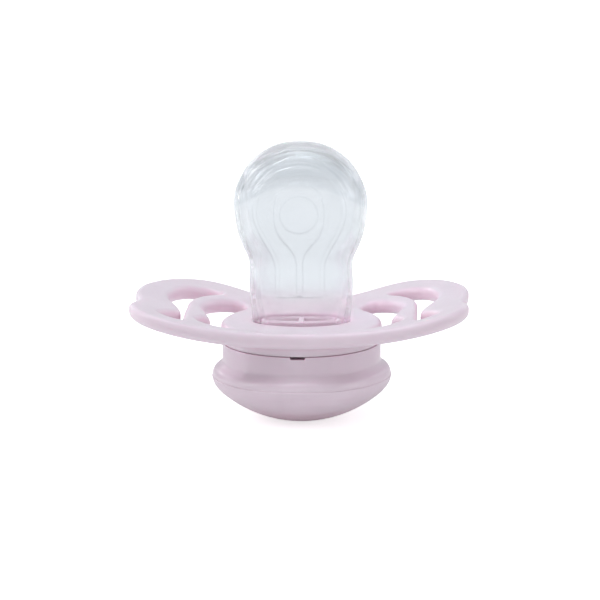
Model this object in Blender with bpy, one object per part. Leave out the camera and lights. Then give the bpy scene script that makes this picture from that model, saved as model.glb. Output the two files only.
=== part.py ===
# Pacifier (soother) standing on its knob: turned knob in two halves, butterfly
# shield with four breathing openings, slotted vent plug and a flattened nipple.
# Units are metres, +Z is up along the nipple, X is the long way of the shield
# and -Y is the chin side.  The origin is the middle of the flat pad the knob
# stands on.
import bpy
import bmesh
import math
from mathutils.geometry import delaunay_2d_cdt

MM = 0.001

# ---------------------------------------------------------------- dimensions
HUB_Z = 16.26            # height of the shield's hub face above the base
PLATE_T = 2.45           # thickness of the shield plate
EDGE_R = 0.9             # rounding of the shield's edges
RIM_OUT = 0.45           # the outline's wall stands this far outside its drawn line
OPEN_OUT = 0.3           # the same for the walls of the openings
HUB_R = 13.0             # hub radius between the inner openings
CURVE_X = 0.0060         # rise of the wings along X, z = CURVE_X * x^2
CURVE_Y = 0.0020         # rise of the wings along Y
BLEND_IN, BLEND_OUT = 12.6, 16.6   # hub face turns into the curved wings here
CHIN_STRETCH = 1.15      # the curve starts earlier towards the chin
CHIN_LIP = 0.16          # low swelling of the face in the middle of the chin

NECK_A, NECK_B = 8.1, 5.4          # half sizes of the nipple at the hub face
NECK_GAP = 0.2                     # clearance of the oval hole around it
FLANGE_R = 10.2                    # nipple flange held under the hub
FLANGE_TOP, FLANGE_BOT = -2.5, -3.4

SKIRT_R, SKIRT_RI, SKIRT_Z = 12.9, 11.35, -3.5
COLLAR_R = 13.1
COLLAR_TOP = -3.65
SPIGOT_RO, SPIGOT_RI, SPIGOT_TOP = 11.1, 10.5, -2.65
SEAT_Z, SEAT_RI, SEAT_BOT = -5.1, 8.4, -6.4
PART_Z = -9.0            # parting line of the knob, on its widest circle
PART_GAP = 0.1
DOME_R, DOME_CZ = 20.5, 3.85       # sphere of the knob's end
DOME_WALL = 1.7
PAD_R = 4.0              # flat pad at the bottom of the dome

PLUG_A, PLUG_B = 6.6, 2.4          # half sizes of the plug's oval stem
SLOT_A, SLOT_B = 6.0, 1.6          # and of the oval the two slots are cut from
PLUG_BAR = 0.8                     # bar left between the slots
PLUG_TOP = 0.0
PLUG_DISC_R, PLUG_DISC_TOP, PLUG_DISC_BOT = 9.9, -3.6, -4.9

NOTCH_W, NOTCH_H = 2.4, 0.4       # vent notch in the collar's top edge

SEG = 60                 # divisions around the turned pieces
NIP_SEG = 36             # divisions around the nipple

# Half outline of the shield, x >= 0, from the middle of the chin side round to
# the middle of the nose notch.
OUTLINE = [(0.0, -13.75), (5.0, -13.95), (10.0, -14.5), (14.0, -15.0),
           (18.0, -15.3), (21.0, -15.1), (23.6, -14.35), (25.6, -12.9),
           (26.8, -10.9), (27.2, -8.9), (26.95, -6.6), (26.45, -4.6),
           (26.25, -3.1), (26.6, -1.4), (27.0, 0.6), (27.2, 3.0),
           (27.0, 6.0), (26.4, 9.0), (25.3, 12.0), (23.9, 14.9),
           (22.0, 17.4), (19.7, 19.4), (17.0, 20.45), (14.4, 20.2),
           (12.0, 19.15), (9.4, 17.5), (6.5, 16.0), (3.2, 15.3),
           (0.0, 15.1)]

# Outer breathing opening of the +X wing: a crescent with a cusp on its outer
# side and a short pocket below the cusp.
OUTER_OPENING = [(13.7, 14.2), (14.9, 15.15), (16.4, 15.5), (18.1, 15.1),
                 (19.65, 14.1), (20.95, 12.5), (21.85, 10.6), (22.4, 8.4),
                 (22.65, 6.2), (22.55, 4.2), (22.05, 2.5), (21.2, 0.85),
                 (20.5, -0.9), (20.05, -2.5), (20.0, -3.8), (20.45, -4.55),
                 (21.2, -5.2), (22.0, -6.35), (22.7, -7.7), (22.95, -8.8),
                 (22.6, -9.7), (21.4, -10.6), (20.0, -11.3), (18.95, -11.2),
                 (18.7, -10.0), (18.75, -6.0), (18.85, -2.0), (18.82, 2.0),
                 (18.8, 5.1), (18.15, 8.0), (16.5, 11.2), (14.5, 13.25)]

# Outer side of the inner opening; its inner side is the hub circle.
INNER_OPENING = [(9.35, 9.95), (10.2, 10.75), (11.5, 11.0), (13.0, 10.5),
                 (14.5, 9.3), (15.6, 7.8), (16.4, 6.0), (16.85, 4.0),
                 (16.75, 2.0), (16.1, 0.3), (15.5, -1.4), (15.15, -2.7),
                 (15.25, -3.5), (15.75, -3.9), (16.4, -4.6), (16.95, -5.8),
                 (17.05, -6.8), (16.8, -7.9), (16.1, -9.0), (15.1, -9.9),
                 (13.6, -10.8), (11.9, -11.1), (10.3, -10.9), (9.25, -10.0)]
HUB_ARC_FROM, HUB_ARC_TO = -41.0, 41.0   # degrees of the hub circle used


# ------------------------------------------------------------------ helpers
def clear_scene():
    for ob in list(bpy.data.objects):
        bpy.data.objects.remove(ob, do_unlink=True)
    for me in list(bpy.data.meshes):
        bpy.data.meshes.remove(me)


def material(name, rgb, rough, alpha=1.0, trans=0.0):
    mat = bpy.data.materials.new(name)
    mat.use_nodes = True
    bsdf = mat.node_tree.nodes["Principled BSDF"]
    bsdf.inputs["Base Color"].default_value = (*rgb, 1.0)
    bsdf.inputs["Roughness"].default_value = rough
    bsdf.inputs["Metallic"].default_value = 0.0
    bsdf.inputs["Alpha"].default_value = alpha
    bsdf.inputs["Transmission Weight"].default_value = trans
    mat.diffuse_color = (*rgb, alpha)
    return mat


def add_object(name, bm, mat, sharp=40.0):
    bmesh.ops.recalc_face_normals(bm, faces=bm.faces)
    me = bpy.data.meshes.new(name)
    bm.to_mesh(me)
    bm.free()
    ob = bpy.data.objects.new(name, me)
    bpy.context.scene.collection.objects.link(ob)
    if mat:
        me.materials.append(mat)
    me.shade_smooth()
    me.set_sharp_from_angle(angle=math.radians(sharp))
    return ob


def hide_cutter(ob):
    ob.hide_render = True
    ob.display_type = 'WIRE'


def boolean(ob, other, op):
    mod = ob.modifiers.new(op.lower(), 'BOOLEAN')
    mod.operation = op
    mod.solver = 'EXACT'
    mod.object = other
    hide_cutter(other)


def spline(points, closed=True, steps=10):
    """Centripetal Catmull-Rom curve through the points."""
    n = len(points)

    def at(i):
        if closed:
            return points[i % n]
        return points[min(max(i, 0), n - 1)]

    out = []
    for i in range(n if closed else n - 1):
        p0, p1, p2, p3 = at(i - 1), at(i), at(i + 1), at(i + 2)
        if p0 == p1:
            p0 = (2 * p1[0] - p2[0], 2 * p1[1] - p2[1])
        if p3 == p2:
            p3 = (2 * p2[0] - p1[0], 2 * p2[1] - p1[1])
        t = [0.0]
        for a, b in ((p0, p1), (p1, p2), (p2, p3)):
            t.append(t[-1] + max(math.dist(a, b), 1e-6) ** 0.5)

        def mix(a, b, ta, tb, s):
            w = (s - ta) / (tb - ta)
            return (a[0] + (b[0] - a[0]) * w, a[1] + (b[1] - a[1]) * w)

        for k in range(steps):
            s = t[1] + (t[2] - t[1]) * k / steps
            a1 = mix(p0, p1, t[0], t[1], s)
            a2 = mix(p1, p2, t[1], t[2], s)
            a3 = mix(p2, p3, t[2], t[3], s)
            b1 = mix(a1, a2, t[0], t[2], s)
            b2 = mix(a2, a3, t[1], t[3], s)
            out.append(mix(b1, b2, t[1], t[2], s))
    if not closed:
        out.append(tuple(points[-1]))
    return out


def resample(loop, longest, turn):
    """Thin a dense closed loop: longest gap in mm, largest turn in degrees."""
    n = len(loop)
    keep, run, bend = [loop[0]], 0.0, 0.0
    for i in range(1, n):
        a, b, c = loop[i - 1], loop[i], loop[(i + 1) % n]
        run += math.dist(a, b)
        h1 = math.atan2(b[1] - a[1], b[0] - a[0])
        h2 = math.atan2(c[1] - b[1], c[0] - b[0])
        bend += abs(math.remainder(h2 - h1, 2 * math.pi))
        if run >= longest or bend >= math.radians(turn):
            if math.dist(b, loop[0]) > 0.25 * longest or i < n // 2:
                keep.append(b)
                run, bend = 0.0, 0.0
    return keep


def signed_area(loop):
    return 0.5 * sum(a[0] * b[1] - b[0] * a[1]
                     for a, b in zip(loop, loop[1:] + loop[:1]))


def oriented(loop, ccw):
    return loop if (signed_area(loop) > 0) == ccw else loop[::-1]


def inset(loop, dist):
    """Offset towards the solid: left of the direction of travel."""
    n, out = len(loop), []
    for i in range(n):
        a, b, c = loop[i - 1], loop[i], loop[(i + 1) % n]
        d1 = (b[0] - a[0], b[1] - a[1])
        d2 = (c[0] - b[0], c[1] - b[1])
        l1, l2 = math.hypot(*d1), math.hypot(*d2)
        nx = -(d1[1] / l1 + d2[1] / l2)
        ny = d1[0] / l1 + d2[0] / l2
        ln = math.hypot(nx, ny)
        out.append((b[0] + dist * nx / ln, b[1] + dist * ny / ln))
    return out


def inside(pt, loops):
    hit = False
    x, y = pt
    for loop in loops:
        for (x1, y1), (x2, y2) in zip(loop, loop[1:] + loop[:1]):
            if (y1 > y) != (y2 > y) and x < (x2 - x1) * (y - y1) / (y2 - y1) + x1:
                hit = not hit
    return hit


def cap_faces(bm, rings, grid, zfun):
    """Triangulate the area between the rings of bmesh verts, with a grid of
    extra points inside so that it can follow a curved surface."""
    loops = [[(v.co.x / MM, v.co.y / MM) for v in ring] for ring in rings]
    pts, edges, verts = [], [], []
    for loop, ring in zip(loops, rings):
        base = len(pts)
        pts += loop
        verts += ring
        edges += [(base + i, base + (i + 1) % len(loop)) for i in range(len(loop))]
    if grid:
        xs = [p[0] for p in pts]
        ys = [p[1] for p in pts]
        rows = int((max(ys) - min(ys)) / (grid * 0.87)) + 1
        cols = int((max(xs) - min(xs)) / grid) + 2
        border = list(pts)
        for j in range(rows):
            for i in range(cols):
                p = (min(xs) + (i + 0.5 * (j % 2)) * grid,
                     min(ys) + j * grid * 0.87)
                near = min((q[0] - p[0]) ** 2 + (q[1] - p[1]) ** 2 for q in border)
                if near > (0.6 * grid) ** 2 and inside(p, loops):
                    pts.append(p)
                    verts.append(bm.verts.new((p[0] * MM, p[1] * MM,
                                               zfun(*p) * MM)))
    res = delaunay_2d_cdt(pts, edges, [], 0, 1e-6)
    coords, faces, origin = res[0], res[2], res[3]
    for face in faces:
        cx = sum(coords[k][0] for k in face) / 3
        cy = sum(coords[k][1] for k in face) / 3
        if inside((cx, cy), loops):
            bm.faces.new([verts[origin[k][0]] for k in face])


def plate(outer, holes, ztop, zbot, radii, grid, steps=2):
    """Solid between two surfaces with every edge rounded.  radii holds one
    edge radius per loop, the outline first."""
    bm = bmesh.new()
    loops = [oriented(outer, True)] + [oriented(h, False) for h in holes]
    tops, bots = [], []
    for loop, er in zip(loops, radii):
        levels = []
        for k in range(steps + 1):
            a = math.pi / 2 * k / steps
            levels.append((er * (1 - math.sin(a)), er * (1 - math.cos(a)), True))
        for k in range(steps, -1, -1):
            a = math.pi / 2 * k / steps
            levels.append((er * (1 - math.sin(a)), er * (1 - math.cos(a)), False))
        rings = []
        for ins, drop, top in levels:
            line = inset(loop, ins)
            rings.append([bm.verts.new((x * MM, y * MM,
                                        ((ztop(x, y) - drop) if top
                                         else (zbot(x, y) + drop)) * MM))
                          for x, y in line])
        for r1, r2 in zip(rings, rings[1:]):
            m = len(r1)
            for i in range(m):
                j = (i + 1) % m
                bm.faces.new((r1[i], r1[j], r2[j], r2[i]))
        tops.append(rings[0])
        bots.append(rings[-1])
    cap_faces(bm, tops, grid, ztop)
    cap_faces(bm, bots, grid, zbot)
    return bm


def turned(profile, seg=SEG):
    """Turn a closed (r, z) profile about Z; points with r = 0 are poles."""
    bm = bmesh.new()
    rings = []
    for r, z in profile:
        if r < 1e-9:
            rings.append([bm.verts.new((0, 0, z * MM))])
        else:
            rings.append([bm.verts.new((r * MM * math.cos(2 * math.pi * i / seg),
                                        r * MM * math.sin(2 * math.pi * i / seg),
                                        z * MM)) for i in range(seg)])
    for r1, r2 in zip(rings, rings[1:] + rings[:1]):
        if len(r1) == 1 and len(r2) == 1:
            continue
        for i in range(seg):
            j = (i + 1) % seg
            face = [r1[0] if len(r1) == 1 else r1[i],
                    r2[0] if len(r2) == 1 else r2[i]]
            if len(r2) > 1:
                face.append(r2[j])
            if len(r1) > 1:
                face.append(r1[j])
            bm.faces.new(face)
    return bm


def box(name, centre, size):
    bm = bmesh.new()
    bmesh.ops.create_cube(bm, size=1.0)
    bmesh.ops.scale(bm, vec=[s * MM for s in size], verts=bm.verts)
    bmesh.ops.translate(bm, vec=[c * MM for c in centre], verts=bm.verts)
    return add_object(name, bm, None)


# ------------------------------------------------------------------- shield
def wing_height(x, y):
    r = math.hypot(x, y if y > 0 else CHIN_STRETCH * y)
    s = min(max((r - BLEND_IN) / (BLEND_OUT - BLEND_IN), 0.0), 1.0)
    s = s * s * (3 - 2 * s)
    return s * (CURVE_X * x * x + CURVE_Y * y * y)


def chin_lip(x, y):
    s = min(max((-y - 10.3) / 3.2, 0.0), 1.0)
    return CHIN_LIP * s * s * (3 - 2 * s) * math.exp(-(x / 6.5) ** 2)


def full_outline():
    mirrored = [(-x, y) for x, y in OUTLINE[1:-1]][::-1]
    return spline(OUTLINE + mirrored)


def inner_opening():
    side = spline(INNER_OPENING, closed=False)
    arc = []
    count = 36
    for k in range(count + 1):
        a = math.radians(HUB_ARC_FROM + (HUB_ARC_TO - HUB_ARC_FROM) * k / count)
        arc.append((HUB_R * math.cos(a), HUB_R * math.sin(a)))
    return side + arc


def ellipse(a, b, count):
    return [(a * math.cos(2 * math.pi * i / count),
             b * math.sin(2 * math.pi * i / count)) for i in range(count)]


def make_shield(mat):
    outer = resample(inset(oriented(full_outline(), True), -RIM_OUT), 1.8, 14)
    holes = []
    for side in (1, -1):
        for loop, gap in ((spline(OUTER_OPENING), 1.5), (inner_opening(), 1.5)):
            loop = [(side * x, y) for x, y in loop]
            loop = inset(oriented(loop, False), -OPEN_OUT)
            holes.append(resample(loop, gap, 18))
    neck = ellipse(NECK_A + NECK_GAP, NECK_B + NECK_GAP, NIP_SEG)
    radii = [EDGE_R] + [EDGE_R, EDGE_R - 0.1] * 2 + [0.25]
    bm = plate(outer, holes + [neck],
               lambda x, y: HUB_Z + wing_height(x, y) + chin_lip(x, y),
               lambda x, y: HUB_Z - PLATE_T + wing_height(x, y),
               radii, 2.6)
    shield = add_object("shield", bm, mat)
    ring = turned([(SKIRT_RI, HUB_Z - 1.0), (SKIRT_R, HUB_Z - 1.0),
                   (SKIRT_R, HUB_Z + SKIRT_Z + 0.15),
                   (SKIRT_R - 0.15, HUB_Z + SKIRT_Z),
                   (SKIRT_RI, HUB_Z + SKIRT_Z)])
    skirt = add_object("skirt_ring", ring, None)
    boolean(shield, skirt, 'UNION')
    return shield


# ------------------------------------------------------------------- nipple
# (height above the hub face, half width, half depth) of the outer skin
NIPPLE_OUT = [(0.0, 8.10, 5.40), (2.0, 8.32, 5.05), (4.5, 8.52, 4.70),
              (7.0, 8.56, 4.50), (9.2, 8.46, 4.50), (10.6, 8.72, 4.70),
              (12.4, 9.56, 5.10), (14.4, 10.28, 5.55), (16.4, 10.68, 5.90),
              (18.9, 10.97, 6.10), (21.2, 10.82, 6.00), (23.2, 10.15, 5.55),
              (25.2, 9.08, 4.80), (26.6, 7.98, 4.15), (27.85, 6.52, 3.30),
              (28.8, 4.95, 2.45), (29.4, 3.30, 1.60), (29.68, 1.65, 0.80)]
NIPPLE_TOP = 29.75
WALL = 0.95              # wall of the hollow nipple
HOLLOW_SHOULDER, HOLLOW_TOP = 20.0, 28.0   # the hollow rounds over between these
BORE_A, BORE_B = 6.95, 4.25


def make_nipple(mat):
    bm = bmesh.new()

    def ring(z, a, b):
        out = []
        for i in range(NIP_SEG):
            t = 2 * math.pi * i / NIP_SEG
            out.append(bm.verts.new((a * math.cos(t) * MM, b * math.sin(t) * MM,
                                     (HUB_Z + z) * MM)))
        return out

    rings = [[bm.verts.new((0, 0, (HUB_Z + NIPPLE_TOP) * MM))]]
    rings += [ring(z, a, b) for z, a, b in reversed(NIPPLE_OUT)]
    rings.append(ring(FLANGE_TOP + 0.25, NECK_A, NECK_B))
    rings.append(ring(FLANGE_TOP, NECK_A + 0.3, NECK_B + 0.3))
    rings.append(ring(FLANGE_TOP, FLANGE_R - 0.25, FLANGE_R - 0.25))
    rings.append(ring(FLANGE_TOP - 0.25, FLANGE_R, FLANGE_R))
    rings.append(ring(FLANGE_BOT + 0.25, FLANGE_R, FLANGE_R))
    rings.append(ring(FLANGE_BOT, FLANGE_R - 0.25, FLANGE_R - 0.25))
    rings.append(ring(FLANGE_BOT, BORE_A, BORE_B))
    for z, a, b in NIPPLE_OUT[1:]:
        # the hollow follows the outer skin and closes below the tip
        t = max(0.0, (z - HOLLOW_SHOULDER) / (HOLLOW_TOP - HOLLOW_SHOULDER))
        if t < 0.99:
            shrink = (1 - t ** 5) ** 0.4
            rings.append(ring(z, (a - WALL) * shrink, (b - WALL) * shrink))
    rings.append([bm.verts.new((0, 0, (HUB_Z + HOLLOW_TOP) * MM))])
    for r1, r2 in zip(rings, rings[1:]):
        for i in range(NIP_SEG):
            j = (i + 1) % NIP_SEG
            if len(r1) == 1:
                bm.faces.new((r1[0], r2[i], r2[j]))
            elif len(r2) == 1:
                bm.faces.new((r1[i], r2[0], r1[j]))
            else:
                bm.faces.new((r1[i], r2[i], r2[j], r1[j]))
    return add_object("nipple", bm, mat)


# ---------------------------------------------------------------- vent plug
def slot_loop(side, count=18):
    """One slot: half of an oval, with a square end at the middle bar."""
    t0 = math.acos(PLUG_BAR / 2 / SLOT_A)
    out = []
    for k in range(count + 1):
        t = -t0 + 2 * t0 * k / count
        out.append((side * SLOT_A * math.cos(t), SLOT_B * math.sin(t)))
    return out


def make_plug(mat):
    disc = turned([(0, HUB_Z + PLUG_DISC_TOP),
                   (PLUG_DISC_R - 0.2, HUB_Z + PLUG_DISC_TOP),
                   (PLUG_DISC_R, HUB_Z + PLUG_DISC_TOP - 0.2),
                   (PLUG_DISC_R, HUB_Z + PLUG_DISC_BOT + 0.2),
                   (PLUG_DISC_R - 0.2, HUB_Z + PLUG_DISC_BOT),
                   (0, HUB_Z + PLUG_DISC_BOT)], 48)
    plug = add_object("vent_plug", disc, mat)
    stem = plate(ellipse(PLUG_A, PLUG_B, 40), [],
                 lambda x, y: HUB_Z + PLUG_TOP,
                 lambda x, y: HUB_Z + PLUG_DISC_TOP - 0.6, [0.2], 0)
    boolean(plug, add_object("plug_stem", stem, None), 'UNION')
    for side, name in ((1, "slot_right"), (-1, "slot_left")):
        cut = plate(slot_loop(side), [],
                    lambda x, y: HUB_Z + PLUG_TOP + 1.0,
                    lambda x, y: HUB_Z + PLUG_DISC_BOT - 1.0, [0.05], 0)
        boolean(plug, add_object(name, cut, None), 'DIFFERENCE')
    return plug


# --------------------------------------------------------------------- knob
# outer (r, z) profile of the flared lower half of the collar
FLARE = [(13.1, -6.5), (13.18, -6.75), (13.4, -7.0), (13.75, -7.3),
         (14.15, -7.6), (14.45, -7.9), (14.62, -8.2), (14.73, -8.5)]


def make_collar(mat):
    low = PART_Z + PART_GAP / 2
    prof = [(SPIGOT_RI, SPIGOT_TOP), (SPIGOT_RO, SPIGOT_TOP),
            (SPIGOT_RO, COLLAR_TOP), (COLLAR_R - 0.15, COLLAR_TOP),
            (COLLAR_R, COLLAR_TOP - 0.15)]
    prof += FLARE
    prof += [(14.78, low + 0.1), (14.7, low), (12.2, low),
             (12.2, SEAT_BOT), (SEAT_RI, SEAT_BOT), (SEAT_RI, SEAT_Z),
             (SPIGOT_RI, SEAT_Z)]
    bm = turned([(r, HUB_Z + z) for r, z in prof])
    collar = add_object("knob_collar", bm, mat)
    depth = COLLAR_R + 1.0 - 10.8
    notch = box("vent_notch",
                (0.0, -(10.8 + depth / 2), HUB_Z + COLLAR_TOP - NOTCH_H / 2 + 0.25),
                (NOTCH_W, depth, NOTCH_H + 0.5))
    boolean(collar, notch, 'DIFFERENCE')
    return collar


def make_cap(mat):
    high = PART_Z - PART_GAP / 2
    prof = [(11.2, -7.4), (12.0, -7.4), (12.0, high), (14.76, high),
            (14.9, high - 0.14), (14.82, -9.5), (14.62, -10.1),
            (14.35, -10.6), (14.0, -11.0)]
    steps = 8
    a0 = math.asin(13.5 / DOME_R)
    a1 = math.asin(PAD_R / DOME_R)
    for k in range(steps + 1):
        a = a0 + (a1 - a0) * k / steps
        prof.append((DOME_R * math.sin(a), DOME_CZ - DOME_R * math.cos(a)))
    prof[-1] = (PAD_R, -HUB_Z)
    prof.append((0.0, -HUB_Z))
    inner = DOME_R - DOME_WALL
    prof.append((0.0, DOME_CZ - inner))
    b1 = math.asin(12.2 / inner)
    for k in range(1, 4):
        a = b1 * k / 3
        prof.append((inner * math.sin(a), DOME_CZ - inner * math.cos(a)))
    prof.append((12.2, high - 0.6))
    prof.append((11.2, high + 0.2))
    bm = turned([(r, HUB_Z + z) for r, z in prof])
    return add_object("knob_cap", bm, mat)


def main():
    clear_scene()
    shell = (0.80, 0.66, 0.75)
    pink_shield = material("shield_plastic", shell, 0.38)
    pink_collar = material("collar_plastic", (0.78, 0.63, 0.72), 0.40)
    pink_cap = material("cap_plastic", (0.78, 0.63, 0.72), 0.40)
    pink_plug = material("plug_plastic", (0.80, 0.65, 0.74), 0.42)
    silicone = material("clear_silicone", (0.86, 0.89, 0.93), 0.22, 0.45, 0.7)
    parts = [make_shield(pink_shield), make_nipple(silicone),
             make_plug(pink_plug), make_collar(pink_collar),
             make_cap(pink_cap)]
    root = bpy.data.objects.new("pacifier", None)
    bpy.context.scene.collection.objects.link(root)
    for ob in parts:
        ob.parent = root


main()
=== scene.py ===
import bpy
import bmesh
import math
import numpy as np
from mathutils import Matrix, Vector
from mathutils.geometry import delaunay_2d_cdt


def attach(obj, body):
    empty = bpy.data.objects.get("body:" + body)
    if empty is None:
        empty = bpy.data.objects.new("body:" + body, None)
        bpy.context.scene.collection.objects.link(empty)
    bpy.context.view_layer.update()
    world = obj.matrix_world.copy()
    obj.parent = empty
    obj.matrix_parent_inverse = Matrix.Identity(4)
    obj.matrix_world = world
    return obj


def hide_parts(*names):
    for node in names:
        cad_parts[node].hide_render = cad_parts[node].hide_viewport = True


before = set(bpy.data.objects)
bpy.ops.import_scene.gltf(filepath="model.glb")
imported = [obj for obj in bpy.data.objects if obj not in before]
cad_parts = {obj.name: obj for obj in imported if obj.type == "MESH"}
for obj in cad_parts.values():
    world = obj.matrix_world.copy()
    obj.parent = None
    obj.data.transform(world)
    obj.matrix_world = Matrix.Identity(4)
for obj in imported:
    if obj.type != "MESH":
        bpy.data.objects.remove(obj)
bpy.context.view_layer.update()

MM = 0.001

# ---------------------------------------------------------------- dimensions
HUB_Z = 16.26
PLATE_T = 2.45
EDGE_R = 1.0
RIM_OUT = 0.45
OPEN_OUT = 0.3
HUB_R = 13.0
CURVE_X = 0.0060
CURVE_Y = 0.0020
BLEND_IN, BLEND_OUT = 12.6, 16.6
CHIN_STRETCH, CHIN_LIP = 1.15, 0.16

NECK_A, NECK_B = 8.1, 5.4
FLANGE_R = 10.2
FLANGE_TOP, FLANGE_BOT = -2.5, -3.4

SKIRT_R, SKIRT_RI, SKIRT_Z = 12.9, 11.35, -3.5
COLLAR_R = 13.1
COLLAR_TOP = -3.56
SPIGOT_RO, SPIGOT_RI, SPIGOT_TOP = 11.1, 10.5, -2.65
SEAT_Z, SEAT_RI, SEAT_BOT = -5.1, 8.4, -6.4
PART_Z = -9.0
PART_GAP = 0.004
DOME_R, DOME_CZ = 20.5, 3.85
DOME_WALL = 1.7
PAD_R = 4.0

PLUG_A, PLUG_B = 6.6, 2.4
SLOT_A, SLOT_B = 6.0, 1.6
PLUG_BAR = 0.8
PLUG_TOP = 0.0
PLUG_DISC_R, PLUG_DISC_TOP, PLUG_DISC_BOT = 9.9, -3.6, -4.9

NOTCH_W, NOTCH_H = 2.4, 0.37

OUTLINE = [(0.0, -13.75), (5.0, -13.95), (10.0, -14.5), (14.0, -15.0),
           (18.0, -15.3), (21.0, -15.1), (23.6, -14.35), (25.6, -12.9),
           (26.8, -10.9), (27.2, -8.9), (26.95, -6.6), (26.45, -4.6),
           (26.25, -3.1), (26.6, -1.4), (27.0, 0.6), (27.2, 3.0),
           (27.0, 6.0), (26.4, 9.0), (25.3, 12.0), (23.9, 14.9),
           (22.0, 17.4), (19.7, 19.4), (17.0, 20.45), (14.4, 20.2),
           (12.0, 19.15), (9.4, 17.5), (6.5, 16.0), (3.2, 15.3),
           (0.0, 15.1)]
OUTER_OPENING = [(13.7, 14.2), (14.9, 15.15), (16.4, 15.5), (18.1, 15.1),
                 (19.65, 14.1), (20.95, 12.5), (21.85, 10.6), (22.4, 8.4),
                 (22.65, 6.2), (22.55, 4.2), (22.05, 2.5), (21.2, 0.85),
                 (20.5, -0.9), (20.05, -2.5), (20.0, -3.8), (20.45, -4.55),
                 (21.2, -5.2), (22.0, -6.35), (22.7, -7.7), (22.95, -8.8),
                 (22.6, -9.7), (21.4, -10.6), (20.0, -11.3), (18.95, -11.2),
                 (18.7, -10.0), (18.75, -6.0), (18.85, -2.0), (18.82, 2.0),
                 (18.8, 5.1), (18.15, 8.0), (16.5, 11.2), (14.5, 13.25)]
INNER_OPENING = [(9.35, 9.95), (10.2, 10.75), (11.5, 11.0), (13.0, 10.5),
                 (14.5, 9.3), (15.6, 7.8), (16.4, 6.0), (16.85, 4.0),
                 (16.75, 2.0), (16.1, 0.3), (15.5, -1.4), (15.15, -2.7),
                 (15.25, -3.5), (15.75, -3.9), (16.4, -4.6), (16.95, -5.8),
                 (17.05, -6.8), (16.8, -7.9), (16.1, -9.0), (15.1, -9.9),
                 (13.6, -10.8), (11.9, -11.1), (10.3, -10.9), (9.25, -10.0)]
HUB_ARC_FROM, HUB_ARC_TO = -41.0, 41.0

NIPPLE_OUT = [(0.0, 8.10, 5.40), (2.0, 8.32, 5.05), (4.5, 8.52, 4.70),
              (7.0, 8.56, 4.50), (9.2, 8.46, 4.50), (10.6, 8.72, 4.70),
              (12.4, 9.56, 5.10), (14.4, 10.28, 5.55), (16.4, 10.68, 5.90),
              (18.9, 10.97, 6.10), (21.2, 10.82, 6.00), (23.2, 10.15, 5.55),
              (25.2, 9.08, 4.80), (26.6, 7.98, 4.15), (27.85, 6.52, 3.30),
              (28.8, 4.95, 2.45), (29.4, 3.30, 1.60), (29.68, 1.65, 0.80)]
NIPPLE_TOP = 29.75
WALL = 0.95
HOLLOW_SHOULDER, HOLLOW_TOP = 20.0, 28.0   # the hollow rounds over between these
BORE_A, BORE_B = 6.95, 4.25

# Relief moulded on the front of the nipple, as half widths against the height
# above the hub: an arch, a drop inside it and a round boss.
ARCH = [(4.0, 4.6), (4.0, 7.0), (4.1, 10.1), (4.8, 12.0), (6.2, 14.5),
        (7.2, 16.7), (7.6, 18.6), (7.4, 20.4), (6.7, 22.3), (5.3, 24.3),
        (3.3, 25.6), (1.3, 26.1), (0.0, 26.15)]
DROP = [(0.5, 5.0), (0.5, 8.0), (0.55, 10.6), (0.9, 11.9), (1.7, 13.1),
        (2.7, 14.3), (3.45, 15.5), (3.95, 17.2), (4.05, 19.0), (3.8, 20.8),
        (3.1, 22.3), (1.8, 23.4), (0.0, 23.8)]
BOSS_Z, BOSS_R = 18.6, 3.05
ARCH_STEP, DROP_STEP, BOSS_STEP = 0.22, 0.22, 0.08
RIB_H, RIB_GAP = 0.045, 0.068


# ------------------------------------------------------------------ curves
def spline(points, closed=True, steps=10):
    """Centripetal Catmull-Rom curve through points of any dimension."""
    P = [np.asarray(p, float) for p in points]
    n = len(P)

    def at(i):
        if closed:
            return P[i % n]
        if i < 0:
            return 2 * P[0] - P[1]
        if i >= n:
            return 2 * P[-1] - P[-2]
        return P[i]

    out = []
    for i in range(n if closed else n - 1):
        p0, p1, p2, p3 = at(i - 1), at(i), at(i + 1), at(i + 2)
        t = [0.0]
        for a, b in ((p0, p1), (p1, p2), (p2, p3)):
            t.append(t[-1] + max(float(np.linalg.norm(b - a)), 1e-6) ** 0.5)

        def mix(a, b, ta, tb, s):
            w = (s - ta) / (tb - ta)
            return a + (b - a) * w

        for k in range(steps):
            s = t[1] + (t[2] - t[1]) * k / steps
            a1 = mix(p0, p1, t[0], t[1], s)
            a2 = mix(p1, p2, t[1], t[2], s)
            a3 = mix(p2, p3, t[2], t[3], s)
            b1 = mix(a1, a2, t[0], t[2], s)
            b2 = mix(a2, a3, t[1], t[3], s)
            out.append(mix(b1, b2, t[1], t[2], s))
    if not closed:
        out.append(P[-1])
    return np.array(out)


def even(loop, gap):
    """A closed loop resampled at an even spacing."""
    loop = np.asarray(loop)
    ring = np.vstack([loop, loop[:1]])
    seg = np.linalg.norm(np.diff(ring, axis=0), axis=1)
    s = np.concatenate([[0], np.cumsum(seg)])
    count = max(int(round(s[-1] / gap)), 8)
    u = np.linspace(0, s[-1], count, endpoint=False)
    return np.stack([np.interp(u, s, ring[:, k]) for k in range(ring.shape[1])], 1)


def relax(loop, rounds):
    """Takes the last small kinks out of a closed loop."""
    for _ in range(rounds):
        loop = 0.5 * loop + 0.25 * (np.roll(loop, 1, 0) + np.roll(loop, -1, 0))
    return loop


def area(loop):
    x, y = loop[:, 0], loop[:, 1]
    return 0.5 * float(np.sum(x * np.roll(y, -1) - y * np.roll(x, -1)))


def oriented(loop, ccw):
    return loop if (area(loop) > 0) == ccw else loop[::-1]


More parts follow.
